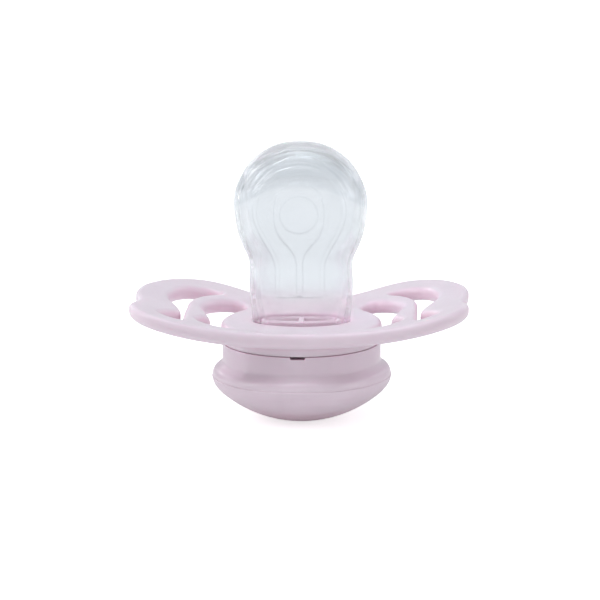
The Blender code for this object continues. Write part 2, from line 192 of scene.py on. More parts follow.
def inset(loop, dist):
    """Offset to the left of the direction of travel."""
    d1 = loop - np.roll(loop, 1, 0)
    d2 = np.roll(loop, -1, 0) - loop
    d1 /= np.linalg.norm(d1, axis=1, keepdims=True)
    d2 /= np.linalg.norm(d2, axis=1, keepdims=True)
    nrm = np.stack([-(d1[:, 1] + d2[:, 1]), d1[:, 0] + d2[:, 0]], 1)
    nrm /= np.linalg.norm(nrm, axis=1, keepdims=True)
    return loop + dist * nrm


def inside(pts, loops):
    pts = np.asarray(pts, float)
    hit = np.zeros(len(pts), bool)
    x, y = pts[:, 0], pts[:, 1]
    for loop in loops:
        a, b = loop, np.roll(loop, -1, 0)
        for (x1, y1), (x2, y2) in zip(a, b):
            if y1 == y2:
                continue
            cross = ((y1 > y) != (y2 > y)) & (x < (x2 - x1) * (y - y1) / (y2 - y1) + x1)
            hit ^= cross
    return hit


# ------------------------------------------------------------------ meshes
def to_object(name, bm, sharp=40.0):
    bmesh.ops.recalc_face_normals(bm, faces=bm.faces)
    me = bpy.data.meshes.new(name)
    bm.to_mesh(me)
    bm.free()
    ob = bpy.data.objects.new(name, me)
    bpy.context.scene.collection.objects.link(ob)
    me.shade_smooth()
    me.set_sharp_from_angle(angle=math.radians(sharp))
    return ob


def cap_faces(bm, rings, grid, zfun):
    loops = [np.array([(v.co.x / MM, v.co.y / MM) for v in ring]) for ring in rings]
    pts, edges, verts = [], [], []
    for loop, ring in zip(loops, rings):
        base = len(pts)
        pts += [tuple(p) for p in loop]
        verts += ring
        edges += [(base + i, base + (i + 1) % len(loop)) for i in range(len(loop))]
    border = np.array(pts)
    if grid:
        lo, hi = border.min(0), border.max(0)
        cand = []
        for j in range(int((hi[1] - lo[1]) / (grid * 0.866)) + 1):
            for i in range(int((hi[0] - lo[0]) / grid) + 2):
                cand.append((lo[0] + (i + 0.5 * (j % 2)) * grid,
                             lo[1] + j * grid * 0.866))
        cand = np.array(cand)
        cand = cand[inside(cand, loops)]
        near = np.array([np.min(np.sum((border - c) ** 2, axis=1)) for c in cand])
        for p in cand[near > (0.62 * grid) ** 2]:
            pts.append(tuple(p))
            verts.append(bm.verts.new((p[0] * MM, p[1] * MM,
                                       zfun(p[0], p[1]) * MM)))
    res = delaunay_2d_cdt([Vector(p) for p in pts], edges, [], 0, 1e-6)
    co = np.array([tuple(c) for c in res[0]])
    mid = np.array([co[list(f)].mean(0) for f in res[2]])
    keep = inside(mid, loops)
    for face, ok in zip(res[2], keep):
        if ok:
            bm.faces.new([verts[res[3][k][0]] for k in face])


def plate(outer, holes, ztop, zbot, radii, grid, steps=7):
    bm = bmesh.new()
    loops = [oriented(outer, True)] + [oriented(h, False) for h in holes]
    tops, bots = [], []
    for loop, (er, eb) in zip(loops, radii):
        levels = []
        for k in range(steps + 1):
            a = math.pi / 2 * k / steps
            levels.append((er * (1 - math.sin(a)), er * (1 - math.cos(a)), True))
        for k in range(steps, -1, -1):
            a = math.pi / 2 * k / steps
            levels.append((eb * (1 - math.sin(a)), eb * (1 - math.cos(a)), False))
        rings = []
        for ins, drop, top in levels:
            line = inset(loop, ins)
            rings.append([bm.verts.new((x * MM, y * MM,
                                        ((ztop(x, y) - drop) if top
                                         else (zbot(x, y) + drop)) * MM))
                          for x, y in line])
        for r1, r2 in zip(rings, rings[1:]):
            m = len(r1)
            for i in range(m):
                j = (i + 1) % m
                bm.faces.new((r1[i], r1[j], r2[j], r2[i]))
        tops.append(rings[0])
        bots.append(rings[-1])
    cap_faces(bm, tops, grid, ztop)
    cap_faces(bm, bots, grid, zbot)
    return bm


def turned(profile, seg=192):
    bm = bmesh.new()
    rings = []
    for r, z in profile:
        if r < 1e-9:
            rings.append([bm.verts.new((0, 0, z * MM))])
        else:
            rings.append([bm.verts.new((r * MM * math.cos(2 * math.pi * i / seg),
                                        r * MM * math.sin(2 * math.pi * i / seg),
                                        z * MM)) for i in range(seg)])
    for r1, r2 in zip(rings, rings[1:] + rings[:1]):
        if len(r1) == 1 and len(r2) == 1:
            continue
        for i in range(seg):
            j = (i + 1) % seg
            face = [r1[0] if len(r1) == 1 else r1[i],
                    r2[0] if len(r2) == 1 else r2[i]]
            if len(r2) > 1:
                face.append(r2[j])
            if len(r1) > 1:
                face.append(r1[j])
            bm.faces.new(face)
    return bm


def fillet(profile, radii, seg=5):
    """Rounds the corners of a closed (r, z) profile.  radii is one radius per
    point; 0 keeps the corner."""
    out = []
    n = len(profile)
    for i, (p, rad) in enumerate(zip(profile, radii)):
        p = np.asarray(p, float)
        if rad <= 0:
            out.append(tuple(p))
            continue
        a = np.asarray(profile[i - 1], float) - p
        b = np.asarray(profile[(i + 1) % n], float) - p
        la, lb = np.linalg.norm(a), np.linalg.norm(b)
        a, b = a / la, b / lb
        cut = min(rad / math.tan(math.acos(max(-1, min(1, float(a @ b)))) / 2),
                  0.45 * la, 0.45 * lb)
        for k in range(seg + 1):
            w = k / seg
            q = (1 - w) ** 2 * (p + a * cut) + 2 * w * (1 - w) * p + w * w * (p + b * cut)
            out.append(tuple(q))
    return out


def apply_boolean(ob, other, op):
    mod = ob.modifiers.new("cut", 'BOOLEAN')
    mod.operation = op
    mod.solver = 'EXACT'
    mod.object = other
    dg = bpy.context.evaluated_depsgraph_get()
    me = bpy.data.meshes.new_from_object(ob.evaluated_get(dg))
    ob.modifiers.clear()
    old = ob.data
    ob.data = me
    me.name = ob.name
    bpy.data.meshes.remove(old)
    bpy.data.objects.remove(other, do_unlink=True)
    me.shade_smooth()
    me.set_sharp_from_angle(angle=math.radians(40))


# ------------------------------------------------------------------- shield
def wing_height(x, y):
    r = math.hypot(x, y if y > 0 else CHIN_STRETCH * y)
    s = min(max((r - BLEND_IN) / (BLEND_OUT - BLEND_IN), 0.0), 1.0)
    s = s * s * (3 - 2 * s)
    return s * (CURVE_X * x * x + CURVE_Y * y * y)


def chin_lip(x, y):
    s = min(max((-y - 10.3) / 3.2, 0.0), 1.0)
    return CHIN_LIP * s * s * (3 - 2 * s) * math.exp(-(x / 6.5) ** 2)


def ellipse(a, b, count):
    t = np.arange(count) * 2 * math.pi / count
    return np.stack([a * np.cos(t), b * np.sin(t)], 1)


def make_shield():
    mirrored = [(-x, y) for x, y in OUTLINE[1:-1]][::-1]
    outer = even(inset(oriented(spline(OUTLINE + mirrored), True), -RIM_OUT), 0.5)
    outer = relax(outer, 4)
    holes = []
    arc = np.radians(np.linspace(HUB_ARC_FROM, HUB_ARC_TO, 60))
    arc = HUB_R * np.stack([np.cos(arc), np.sin(arc)], 1)
    inner = np.vstack([spline(INNER_OPENING, closed=False), arc])
    for side in (1, -1):
        for loop in (spline(OUTER_OPENING), inner):
            loop = inset(even(oriented(loop, False), 0.2), -OPEN_OUT)
            loop = relax(even(loop, 0.42), 3)
            holes.append(loop * np.array([side, 1]))
    neck = ellipse(NECK_A + 0.05, NECK_B + 0.05, 120)
    bm = plate(outer, holes + [neck],
               lambda x, y: HUB_Z + wing_height(x, y) + chin_lip(x, y),
               lambda x, y: HUB_Z - PLATE_T + wing_height(x, y),
               [(EDGE_R, EDGE_R)] * 5 + [(0.3, 0.15)], 0.9)
    shield = to_object("shield_moulding", bm)
    ring = fillet([(SKIRT_RI, HUB_Z - 1.0), (SKIRT_R, HUB_Z - 1.0),
                   (SKIRT_R, HUB_Z + SKIRT_Z), (SKIRT_RI, HUB_Z + SKIRT_Z)],
                  [0, 0, 0.10, 0.1])
    skirt = to_object("skirt_ring", turned(ring))
    apply_boolean(shield, skirt, 'UNION')
    # marks the walls of the openings, where a deeper pink is painted as shade, standing in for the pink
    # light bounced between them
    co = np.empty(len(shield.data.vertices) * 3)
    shield.data.vertices.foreach_get('co', co)
    plan = co.reshape(-1, 3)[:, :2] / MM
    edge = np.vstack(holes)
    dist = np.concatenate([np.sqrt(((part[:, None] - edge[None]) ** 2).sum(2)).min(1)
                           for part in np.array_split(plan, 1 + len(plan) // 2000)])
    layer = shield.data.attributes.new("opening_wall_shade", 'FLOAT', 'POINT')
    layer.data.foreach_set('value', np.clip(1.0 - (dist - 0.1) / 0.5, 0.0, 1.0))
    return shield


# ------------------------------------------------------------------- nipple
def outline_distance(half, x, z):
    """Signed distance in mm to a closed symmetric line, positive inside."""
    line = spline(half, closed=False, steps=6)
    loop = np.vstack([line, line[::-1][1:] * np.array([-1, 1])])
    pts = np.stack([x, z], 1)
    dist = np.full(len(pts), 1e9)
    for p0, d in zip(loop, np.roll(loop, -1, 0) - loop):
        t = np.clip(((pts - p0) @ d) / max(float(d @ d), 1e-9), 0, 1)
        dist = np.minimum(dist, np.linalg.norm(pts - (p0 + t[:, None] * d), axis=1))
    return np.where(inside(pts, [loop]), dist, -dist)


def step_up(dist, edge):
    w = np.clip(0.5 + dist / (2 * edge), 0, 1)
    return w * w * (3 - 2 * w)


def relief(x, z):
    """Height of the relief on the front of the nipple in mm, and how near
    each point is to one of its edges."""
    arch, drop = outline_distance(ARCH, x, z), outline_distance(DROP, x, z)
    r = np.hypot(x, z - BOSS_Z)
    out = ARCH_STEP * step_up(arch, 0.28) + DROP_STEP * step_up(drop, 0.28)
    out += BOSS_STEP * step_up(BOSS_R - r, 0.16)
    out += 0.06 * np.clip(1 - (r / BOSS_R) ** 2, 0, 1)
    # painted shade: nearness to the relief edges, where the silicone is painted grey
    line = 0.6 * np.exp(-(arch / 0.15) ** 2) + 0.65 * np.exp(-(drop / 0.15) ** 2)
    line += 0.5 * np.exp(-((r - BOSS_R) / 0.17) ** 2)
    line += 0.25 * np.exp(-((arch - 0.75) / 0.13) ** 2)
    line *= np.clip((z - 5.0) / 1.5, 0, 1) * np.clip((25.0 - z) / 4.0, 0.35, 1)
    # fine ribs following the round of the tip
    s = np.hypot(x / 10.97, (z - 19.0) / 10.75)
    window = np.clip((s - 0.66) / 0.06, 0, 1) * np.clip((0.97 - s) / 0.06, 0, 1)
    window = window * np.clip((z - 21.5) / 1.5, 0, 1)
    wave = np.sin(2 * math.pi * (s - 0.7) / RIB_GAP)
    return out + RIB_H * window * wave, np.clip(line, 0, 1)


def make_nipple():
    seg = 320
    bm = bmesh.new()
    ang = 2 * math.pi * np.arange(seg) / seg
    ca, sa = np.cos(ang), np.sin(ang)

    def ring(z, a, b, front=None):
        x, y = a * ca, b * sa
        if front is not None:
            # lift the front of the outer skin along its normal
            w = np.clip((np.clip(-sa, 0, 1) - 0.12) / 0.3, 0, 1)
            push = front * w
            nx, ny = ca / a, sa / b
            ln = np.hypot(nx, ny)
            x, y = x + push * nx / ln, y + push * ny / ln
        return [bm.verts.new((float(p) * MM, float(q) * MM, (HUB_Z + z) * MM))
                for p, q in zip(x, y)]

    outer = [(NIPPLE_TOP, 0.0, 0.0)] + list(reversed(NIPPLE_OUT))
    prof = spline([(z, a, b) for z, a, b in outer], closed=False, steps=6)
    # even steps along the skin, fine enough to carry the relief
    run = np.concatenate([[0], np.cumsum(np.linalg.norm(np.diff(prof, axis=0), axis=1))])
    count = int(run[-1] / 0.15)
    at = np.linspace(0, run[-1], count + 1)
    skin = np.stack([np.interp(at, run, prof[:, k]) for k in range(3)], 1)
    for k in (1, 2):
        soft = np.convolve(np.pad(skin[:, k], 3, mode='edge'), np.ones(7) / 7, 'valid')
        skin[8:-4, k] = soft[8:-4]
    grid_x = (skin[1:, 1:2] * ca).ravel()
    grid_z = np.repeat(skin[1:, 0], seg)
    lift, line = relief(grid_x, grid_z)
    # painted shade: the tip above a low curved border is painted a shade greyer, standing in for the darker
    # surroundings seen through it; a band runs along that border
    border = 23.2 - 3.2 * (grid_x / 9.5) ** 2
    tip = np.clip(0.5 + (grid_z - border) / 0.5, 0, 1)
    tip_grey_band = (np.exp(-((grid_z - border - 0.3) / 0.40) ** 2)
                   * np.clip((np.abs(grid_x) - 5) / 3, 0, 1))
    lift, line, tip, tip_grey_band = (v.reshape(-1, seg) for v in (lift, line, tip, tip_grey_band))
    front = np.clip((np.clip(-sa, 0, 1) - 0.12) / 0.2, 0, 1)
    marks = [[0.0, 1.0]]
    rings = [[bm.verts.new((0, 0, (HUB_Z + NIPPLE_TOP) * MM))]]
    for l, t, e in zip(line, tip, tip_grey_band):
        marks += [[float(p), float(q)] for p, q in zip(l * front, np.clip(t * 0.6 + 0.8 * e * front, 0, 1))]
    for (z, a, b), up in zip(skin[1:], lift):
        fade = min(max((z - 1.0) / 2.0, 0.0), 1.0) * min(max((29.3 - z) / 0.8, 0.0), 1.0)
        rings.append(ring(z, a, b, up * fade))
    rings.append(ring(-1.0, NECK_A, NECK_B))
    rings.append(ring(FLANGE_TOP + 0.3, NECK_A, NECK_B))
    rings.append(ring(FLANGE_TOP + 0.08, NECK_A + 0.08, NECK_B + 0.08))
    rings.append(ring(FLANGE_TOP, NECK_A + 0.3, NECK_B + 0.3))
    for w in (0.3, 0.6, 0.9):
        rings.append(ring(FLANGE_TOP,
                          (NECK_A + 0.3) * (1 - w) + (FLANGE_R - 0.25) * w,
                          (NECK_B + 0.3) * (1 - w) + (FLANGE_R - 0.25) * w))
    for k in range(5):
        a = math.pi / 2 * k / 4
        rings.append(ring(FLANGE_TOP - 0.25 * (1 - math.cos(a)),
                          FLANGE_R - 0.25 * (1 - math.sin(a)),
                          FLANGE_R - 0.25 * (1 - math.sin(a))))
    for k in range(4, -1, -1):
        a = math.pi / 2 * k / 4
        rings.append(ring(FLANGE_BOT + 0.25 * (1 - math.cos(a)),
                          FLANGE_R - 0.25 * (1 - math.sin(a)),
                          FLANGE_R - 0.25 * (1 - math.sin(a))))
    rings.append(ring(FLANGE_BOT, BORE_A + 0.15, BORE_B + 0.15))
    rings.append(ring(FLANGE_BOT + 0.15, BORE_A, BORE_B))
    rings.append(ring(-2.2, BORE_A, BORE_B))
    rings.append(ring(-1.0, BORE_A, BORE_B))

    # the hollow: the outer skin moved in by the wall, closing under the tip
    body = skin[::-1]
    levels = np.concatenate([np.arange(-0.6, HOLLOW_SHOULDER, 0.4),
                             HOLLOW_SHOULDER + (HOLLOW_TOP - HOLLOW_SHOULDER)
                             * (1 - (1 - np.linspace(0, 1, 60)) ** 2.2)])[:-1]
    low = np.clip((levels + 1.0) / 3.5, 0, 1)
    low = low * low * (3 - 2 * low)
    t = np.clip((levels - HOLLOW_SHOULDER) / (HOLLOW_TOP - HOLLOW_SHOULDER), 0, 1)
    close = (1 - t ** 5) ** 0.4
    la = BORE_A * (1 - low) + (np.interp(levels, body[:, 0], body[:, 1]) - WALL) * low
    lb = BORE_B * (1 - low) + (np.interp(levels, body[:, 0], body[:, 2]) - WALL) * low
    for z, a, b in zip(levels, la * close, lb * close):
        rings.append(ring(float(z), float(a), float(b)))
    rings.append([bm.verts.new((0, 0, (HUB_Z + HOLLOW_TOP) * MM))])
    for r1, r2 in zip(rings, rings[1:]):
        for i in range(seg):
            j = (i + 1) % seg
            if len(r1) == 1:
                bm.faces.new((r1[0], r2[i], r2[j]))
            elif len(r2) == 1:
                bm.faces.new((r1[i], r2[0], r1[j]))
            else:
                bm.faces.new((r1[i], r2[i], r2[j], r1[j]))
    ob = to_object("nipple_silicone", bm, 60)
    count = len(ob.data.vertices)
    for k, name in enumerate(("relief_edge_shade", "tip_grey_shade")):
        layer = ob.data.attributes.new(name, 'FLOAT', 'POINT')
        values = np.zeros(count, dtype=np.float32)
        values[:len(marks)] = [m[k] for m in marks]
        layer.data.foreach_set("value", values)
    return ob


# ---------------------------------------------------------------- vent plug
def slot_loop(side):
    """One slot: a pointed round end outside, a square end at the bar."""
    x0 = PLUG_BAR / 2
    t0 = math.acos(x0 / SLOT_A)
    out = [(SLOT_A * math.cos(t), SLOT_B * math.sin(t))
           for t in np.linspace(-t0, t0, 60)]
    return even(np.array([(side * x, y) for x, y in out]), 0.15)


def make_plug():
    floor_z = HUB_Z + PLUG_DISC_BOT
    slots = [slot_loop(1), slot_loop(-1)]
    stem = plate(even(ellipse(PLUG_A, PLUG_B, 240), 0.2), slots,
                 lambda x, y: HUB_Z + PLUG_TOP,
                 lambda x, y: HUB_Z + PLUG_DISC_TOP - 0.6,
                 [(0.25, 0.0001)] + [(0.12, 0.0001)] * 2, 0, 5)
    plug = to_object("vent_plug_moulding", stem)
    disc = plate(ellipse(PLUG_DISC_R, PLUG_DISC_R, 120), slots,
                 lambda x, y: HUB_Z + PLUG_DISC_TOP,
                 lambda x, y: floor_z, [(0.2, 0.2)] + [(0.0001, 0.15)] * 2, 0, 5)
    other = to_object("plug_disc", disc)
    apply_boolean(plug, other, 'UNION')
    return plug


# --------------------------------------------------------------------- knob
FLARE = [(13.1, -5.2), (13.1, -6.0), (13.1, -6.5), (13.18, -6.75),
         (13.4, -7.0), (13.75, -7.3), (14.15, -7.6), (14.45, -7.9),
         (14.62, -8.2), (14.73, -8.5), (14.78, -8.8)]


def make_collar():
    low = PART_Z + PART_GAP / 2
    flare = [tuple(p) for p in spline(FLARE, closed=False, steps=5)]
    head = fillet([(SPIGOT_RI, SPIGOT_TOP), (SPIGOT_RO, SPIGOT_TOP),
                   (SPIGOT_RO, COLLAR_TOP), (COLLAR_R, COLLAR_TOP),
                   (COLLAR_R, -5.0), (SEAT_RI, SEAT_Z), (SPIGOT_RI, SEAT_Z)],
                  [0.12, 0.12, 0, 0.11, 0, 0, 0])
    top = head[:-3]
    tail = fillet([(14.74, low), (12.2, low), (12.2, SEAT_BOT),
                   (SEAT_RI, SEAT_BOT), (SEAT_RI, SEAT_Z), (SPIGOT_RI, SEAT_Z),
                   (SPIGOT_RI, SPIGOT_TOP)],
                  [0, 0, 0, 0.1, 0.1, 0, 0])[:-1]
    prof = top + flare + tail
    bm = turned([(r, HUB_Z + z) for r, z in prof])
    collar = to_object("knob_collar_moulding", bm)
    depth = COLLAR_R + 1.0 - 10.8
    # the notch has rounded bottom corners
    w, h = NOTCH_W / 2, NOTCH_H
    sect = fillet([(-w, -h), (w, -h), (w, 0.6), (-w, 0.6)], [0.15, 0.15, 0, 0])
    bm = bmesh.new()
    front = [bm.verts.new((x * MM, -(COLLAR_R + 1.0) * MM,
                           (HUB_Z + COLLAR_TOP + z) * MM)) for x, z in sect]
    back = [bm.verts.new((x * MM, -(COLLAR_R + 1.0 - depth) * MM,
                          (HUB_Z + COLLAR_TOP + z) * MM)) for x, z in sect]
    bm.faces.new(front)
    bm.faces.new(back[::-1])
    for i in range(len(sect)):
        j = (i + 1) % len(sect)
        bm.faces.new((front[i], back[i], back[j], front[j]))
    apply_boolean(collar, to_object("vent_notch", bm), 'DIFFERENCE')
    return collar


def make_cap():
    high = PART_Z - PART_GAP / 2
    side = [(14.87, high - 0.14), (14.81, -9.45), (14.62, -10.1),
            (14.35, -10.6), (14.0, -11.03)]
    a0 = math.asin(13.5 / DOME_R)
    dome = []
    for k in range(8):
        a = a0 * (1 - k / 8 * 0.18)
        dome.append((DOME_R * math.sin(a), DOME_CZ - DOME_R * math.cos(a)))
    side = [tuple(p) for p in spline(side + dome[:2], closed=False, steps=6)][:-6]
    prof = fillet([(11.2, -7.4), (12.0, -7.4), (12.0, high), (14.76, high)],
                  [0.15, 0.15, 0, 0])[:-1]
    prof += [(14.76, high), (14.80, high - 0.02)]
    prof += side
    a_from = math.asin(side[-1][0] / DOME_R)
    a1 = math.asin(PAD_R / DOME_R)
    for k in range(1, 61):
        a = a_from + (a1 - a_from) * k / 60
        prof.append((DOME_R * math.sin(a), DOME_CZ - DOME_R * math.cos(a)))
    prof[-1] = (PAD_R, -HUB_Z)
    prof.append((2.0, -HUB_Z))
    prof.append((0.0, -HUB_Z))
    inner = DOME_R - DOME_WALL
    prof.append((0.0, DOME_CZ - inner))
    b1 = math.asin(12.2 / inner)
    for k in range(1, 25):
        a = b1 * k / 24
        prof.append((inner * math.sin(a), DOME_CZ - inner * math.cos(a)))
    prof.append((12.2, high - 0.6))
    prof.append((11.2, high + 0.2))
    bm = turned([(r, HUB_Z + z) for r, z in prof])
    return to_object("knob_cap_moulding", bm)


# ---------------------------------------------------------------- materials
class Nodes:
    def __init__(self, name):
        self.mat = bpy.data.materials.new(name)
        self.mat.use_nodes = True
        self.tree = self.mat.node_tree
        self.bsdf = self.tree.nodes["Principled BSDF"]
        self.out = self.tree.nodes["Material Output"]
        self.tex = self.tree.nodes.new('ShaderNodeTexCoord')

    def new(self, kind, **props):
        node = self.tree.nodes.new(kind)
        for key, value in props.items():
            setattr(node, key, value)
        return node

    def link(self, a, b):
        self.tree.links.new(a, b)

    def noise(self, scale, detail=4.0, rough=0.55, stretch=None, distort=0.0):
        node = self.new('ShaderNodeTexNoise')
        node.inputs['Scale'].default_value = scale
        node.inputs['Detail'].default_value = detail
        node.inputs['Roughness'].default_value = rough
        node.inputs['Distortion'].default_value = distort
        src = self.tex.outputs['Object']
        if stretch:
            mp = self.new('ShaderNodeMapping')
            mp.inputs['Scale'].default_value = stretch
            self.link(src, mp.inputs['Vector'])
            src = mp.outputs['Vector']
        self.link(src, node.inputs['Vector'])
        return node.outputs['Fac']

    def remap(self, fac, lo, hi, out_lo, out_hi):
        node = self.new('ShaderNodeMapRange')
        node.inputs['From Min'].default_value = lo
        node.inputs['From Max'].default_value = hi
        node.inputs['To Min'].default_value = out_lo
        node.inputs['To Max'].default_value = out_hi
        self.link(fac, node.inputs['Value'])
        return node.outputs['Result']

    def ramp(self, fac, stops):
        node = self.new('ShaderNodeValToRGB')
        el = node.color_ramp.elements
        while len(el) < len(stops):
            el.new(0.5)
        for e, (pos, col) in zip(el, stops):
            e.position = pos
            e.color = (*col, 1.0)
        self.link(fac, node.inputs['Fac'])
        return node.outputs['Color']

    def bump(self, height, strength, distance, base=None):
        node = self.new('ShaderNodeBump')
        node.inputs['Strength'].default_value = strength
        node.inputs['Distance'].default_value = distance
        self.link(height, node.inputs['Height'])
        if base:
            self.link(base, node.inputs['Normal'])
        return node.outputs['Normal']


def srgb(r, g, b):
    def f(v):
        v /= 255
        return v / 12.92 if v <= 0.04045 else ((v + 0.055) / 1.055) ** 2.4
    return (f(r), f(g), f(b))


def plastic(name, dark, light, rough=0.32, seed=0.0, depth=0.0016,
            recess_shade_colour=(0.71, 0.545, 0.625), seam=None):
    """Moulded polypropylene: nearly even colour, faint flow clouding, a
    satin skin of very fine grain and a soft waxy depth."""
    n = Nodes(name)
    cloud = n.noise(160.0, 5.0, 0.55, (1.0, 1.0, 0.6), 0.4 + seed)
    colour = n.ramp(cloud, [(0.30, dark), (0.72, light)])
    # painted shade: ambient occlusion paints a deeper, darker pink inside the openings
    # and under the rim, standing in for the pink light bounced around in them
    recess_ao = n.new('ShaderNodeAmbientOcclusion', samples=8, inside=False)
    recess_ao.inputs['Distance'].default_value = 0.0035
    recess_shaded = n.new('ShaderNodeMix', data_type='RGBA')
    n.link(n.remap(recess_ao.outputs['AO'], 0.92, 0.45, 0.0, 1.0), recess_shaded.inputs[0])
    n.link(colour, recess_shaded.inputs[6])
    recess_shaded.inputs[7].default_value = (*recess_shade_colour, 1.0)
    # painted shade: a deeper pink painted on the walls of the openings
    walls = n.new('ShaderNodeMix', data_type='RGBA')
    wall_shade_mark = n.new('ShaderNodeAttribute', attribute_name="opening_wall_shade").outputs['Fac']
    n.link(n.remap(wall_shade_mark, 0.0, 1.0, 0.0, 0.8), walls.inputs[0])
    n.link(recess_shaded.outputs[2], walls.inputs[6])
    walls.inputs[7].default_value = (0.735, 0.565, 0.65, 1.0)
    n.link(walls.outputs[2], n.bsdf.inputs['Base Color'])
    fine = n.noise(2600.0, 2.0, 0.5)
    n.link(n.remap(fine, 0.3, 0.7, rough - 0.04, rough + 0.05),
           n.bsdf.inputs['Roughness'])
    waves = n.noise(420.0, 2.0, 0.4)
    b1 = n.bump(waves, 0.10, 0.0002)
    n.link(n.bump(fine, 0.12, 0.00004, b1), n.bsdf.inputs['Normal'])
    n.bsdf.inputs['Subsurface Weight'].default_value = 0.7
    if seam is not None:
        # no depth right at a parting line, so that it doesn't darken
        split = n.new('ShaderNodeSeparateXYZ')
        n.link(n.tex.outputs['Object'], split.inputs['Vector'])
        off = n.new('ShaderNodeMath', operation='SUBTRACT')
        n.link(split.outputs['Z'], off.inputs[0])
        off.inputs[1].default_value = seam
        size = n.new('ShaderNodeMath', operation='ABSOLUTE')
        n.link(off.outputs[0], size.inputs[0])
        n.link(n.remap(size.outputs[0], 0.2 * MM, 1.4 * MM, 0.0, 0.7),
               n.bsdf.inputs['Subsurface Weight'])
    n.bsdf.inputs['Subsurface Radius'].default_value = (0.85, 0.62, 0.74)
    n.bsdf.inputs['Subsurface Scale'].default_value = depth
    n.bsdf.inputs['IOR'].default_value = 1.49
    n.mat.diffuse_color = (*light, 1)
    return n.mat


def silicone(name):
    """Clear silicone: bends the light like glass, but softly, since part of
    it goes straight through; milky where it is seen edge on, at its foot and
    along the edges of the relief."""
    n = Nodes(name)

    def add(a, b):
        node = n.new('ShaderNodeMath', operation='ADD', use_clamp=True)
        n.link(a, node.inputs[0])
        n.link(b, node.inputs[1])
        return node.outputs[0]

    def blend(fac, a, colour):
        node = n.new('ShaderNodeMix', data_type='RGBA')
        n.link(fac, node.inputs[0])
        n.link(a, node.inputs[6])
        node.inputs[7].default_value = (*colour, 1.0)
        return node.outputs[2]

    haze = n.noise(240.0, 4.0, 0.5)
    colour = n.ramp(haze, [(0.25, (0.900, 0.913, 0.927)), (0.75, (0.920, 0.932, 0.946))])
    line = n.new('ShaderNodeAttribute', attribute_name="relief_edge_shade").outputs['Fac']
    tip = n.new('ShaderNodeAttribute', attribute_name="tip_grey_shade").outputs['Fac']
    # painted reflection: the foot is painted pink, standing in for the pink shield seen through it
    split = n.new('ShaderNodeSeparateXYZ')
    n.link(n.tex.outputs['Object'], split.inputs['Vector'])
    foot = n.remap(split.outputs['Z'], (HUB_Z + 5.2) * MM, (HUB_Z + 3.2) * MM, 0.0, 1.0)
    colour = blend(n.remap(foot, 0.0, 1.0, 0.0, 0.8), colour, (0.975, 0.935, 0.955))
    # less painted grey towards the very top
    less = n.new('ShaderNodeMath', operation='SUBTRACT', use_clamp=True)
    n.link(tip, less.inputs[0])
    n.link(n.remap(split.outputs['Z'], (HUB_Z + 25.0) * MM, (HUB_Z + 28.0) * MM, 0.0, 0.7),
           less.inputs[1])
    tip = less.outputs[0]
    # painted shade: the tip painted greyer
    colour = blend(n.remap(tip, 0.0, 1.0, 0.0, 1.0), colour, (0.785, 0.812, 0.84))
    # painted shade: grey along the edges of the relief
    colour = blend(n.remap(line, 0.0, 1.0, 0.0, 0.8), colour, (0.72, 0.755, 0.78))
    n.link(colour, n.bsdf.inputs['Base Color'])
    fine = n.noise(1500.0, 3.0, 0.5)
    n.link(n.remap(fine, 0.3, 0.7, 0.02, 0.06), n.bsdf.inputs['Roughness'])
    wave = n.noise(130.0, 1.0, 0.4)
    n.link(n.bump(wave, 0.05, 0.0002), n.bsdf.inputs['Normal'])
    edge = n.new('ShaderNodeLayerWeight')
    edge.inputs['Blend'].default_value = 0.5
    milk = n.remap(edge.outputs['Facing'], 0.5, 1.0, 0.04, 0.50)
    milk = add(milk, n.remap(foot, 0.0, 1.0, 0.0, 0.24))
    # clearer again just above the shield, where the plug shows through
    base = n.new('ShaderNodeMath', operation='SUBTRACT', use_clamp=True)
    n.link(milk, base.inputs[0])
    n.link(n.remap(split.outputs['Z'], (HUB_Z + 2.6) * MM, (HUB_Z + 1.4) * MM, 0.0, 0.22),
           base.inputs[1])
    milk = base.outputs[0]
    milk = add(milk, n.remap(line, 0.0, 1.0, 0.0, 0.25))
    n.link(n.remap(milk, 0.0, 1.0, 1.0, 0.0), n.bsdf.inputs['Transmission Weight'])
    n.bsdf.inputs['IOR'].default_value = 1.41
    straight = n.new('ShaderNodeBsdfTransparent')
    tint = n.ramp(haze, [(0.25, (0.93, 0.94, 0.95)), (0.75, (0.945, 0.95, 0.96))])
    # painted reflection: the straight-through part tinted pink at the foot
    tint = blend(n.remap(foot, 0.0, 1.0, 0.0, 0.9), tint, (0.97, 0.95, 0.96))
    # painted shade: greyer tint on the tip
    tint = blend(n.remap(tip, 0.0, 1.0, 0.0, 1.0), tint, (0.84, 0.862, 0.885))
    # painted shade: greyer tint along the relief edges
    tint = blend(n.remap(line, 0.0, 1.0, 0.0, 0.7), tint, (0.80, 0.825, 0.845))
    n.link(tint, straight.inputs['Color'])
    soft = n.new('ShaderNodeMixShader')
    soft.inputs['Fac'].default_value = STRAIGHT
    n.link(n.bsdf.outputs['BSDF'], soft.inputs[1])
    n.link(straight.outputs['BSDF'], soft.inputs[2])
    path = n.new('ShaderNodeLightPath')
    clear = n.new('ShaderNodeBsdfTransparent')
    clear.inputs['Color'].default_value = (0.93, 0.945, 0.96, 1.0)
    mix = n.new('ShaderNodeMixShader')
    n.link(path.outputs['Is Shadow Ray'], mix.inputs['Fac'])
    n.link(soft.outputs['Shader'], mix.inputs[1])
    n.link(clear.outputs['BSDF'], mix.inputs[2])
    n.link(mix.outputs['Shader'], n.out.inputs['Surface'])
    n.mat.diffuse_color = (0.85, 0.9, 0.95, 0.5)
    return n.mat


STRAIGHT = 0.35      # part of the light that the silicone doesn't bend


# --------------------------------------------------------------------- build
def place(piece, node, mat):
    piece.data.materials.clear()
    piece.data.materials.append(mat)
    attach(piece, "root")
    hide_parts(node)
    return piece


